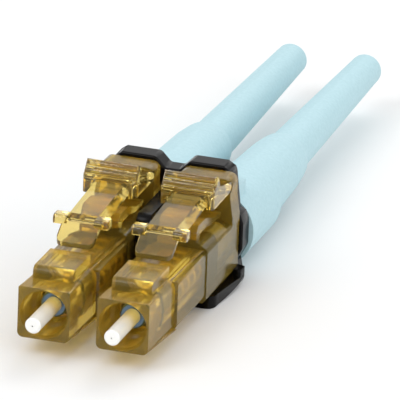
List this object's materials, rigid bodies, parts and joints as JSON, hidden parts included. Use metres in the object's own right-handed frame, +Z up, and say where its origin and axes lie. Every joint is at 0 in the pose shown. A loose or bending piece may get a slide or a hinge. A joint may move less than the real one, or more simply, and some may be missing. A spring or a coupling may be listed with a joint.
{
  "type": "duplex fibre connector",
  "caption": "Duplex LC fibre optic connector: translucent plugs with ferrules and latch levers, held side by side in a black clip, with long tapered boots.",
  "frame": {"origin": "midway between the two ferrule axes, in the plane of the noses' front faces", "axes": "+X across the pair to the right plug, +Y along the ferrules from the noses to the boots, +Z up to the latch levers"},
  "size_m": [0.0124, 0.0649, 0.0102],
  "materials": {
    "amber_plastic": "gloss, translucent",
    "zirconia": "polished",
    "holder_metal": "bright",
    "tube_steel": "drawn",
    "post_metal": "turned, nickel plated",
    "sleeve_metal": "satin",
    "clip_plastic": "semi-gloss",
    "boot_rubber": "matt"
  },
  "bodies": {
    "connector": {"plug_housing_left": "amber_plastic", "rear_cap_left": "amber_plastic", "ferrule_spring_left": "tube_steel", "crimp_post_left": "post_metal", "crimp_sleeve_left": "sleeve_metal", "boot_left": "boot_rubber", "plug_housing_right": "amber_plastic", "rear_cap_right": "amber_plastic", "ferrule_spring_right": "tube_steel", "crimp_post_right": "post_metal", "crimp_sleeve_right": "sleeve_metal", "boot_right": "boot_rubber", "clip_upper": "clip_plastic", "clip_tray": "clip_plastic"},
    "ferrule_set_left": {"ferrule_left": "zirconia", "ferrule_holder_left": "holder_metal", "guide_tube_left": "tube_steel"},
    "latch_left": {"latch_lever_left": "amber_plastic"},
    "ferrule_set_right": {"ferrule_right": "zirconia", "ferrule_holder_right": "holder_metal", "guide_tube_right": "tube_steel"},
    "latch_right": {"latch_lever_right": "amber_plastic"}
  },
  "joints": [
    {"name": "ferrule_float_left", "type": "slide", "parent": "connector", "child": "ferrule_set_left", "axis": [0, 1, 0], "range_m": [0, 0.0012], "stiffness_N_per_m": 1500, "deforming": ["ferrule_spring_left"]},
    {"name": "latch_press_left", "type": "hinge", "parent": "connector", "child": "latch_left", "pos_m": [-0.00313, 0.0191, 0.00492], "axis": [1, 0, 0], "range_deg": [0, 4], "stiffness_Nm_per_rad": 0.2},
    {"name": "ferrule_float_right", "type": "slide", "parent": "connector", "child": "ferrule_set_right", "axis": [0, 1, 0], "range_m": [0, 0.0012], "stiffness_N_per_m": 1500, "deforming": ["ferrule_spring_right"]},
    {"name": "latch_press_right", "type": "hinge", "parent": "connector", "child": "latch_right", "pos_m": [0.00313, 0.0191, 0.00492], "axis": [1, 0, 0], "range_deg": [0, 4], "stiffness_Nm_per_rad": 0.2}
  ]
}
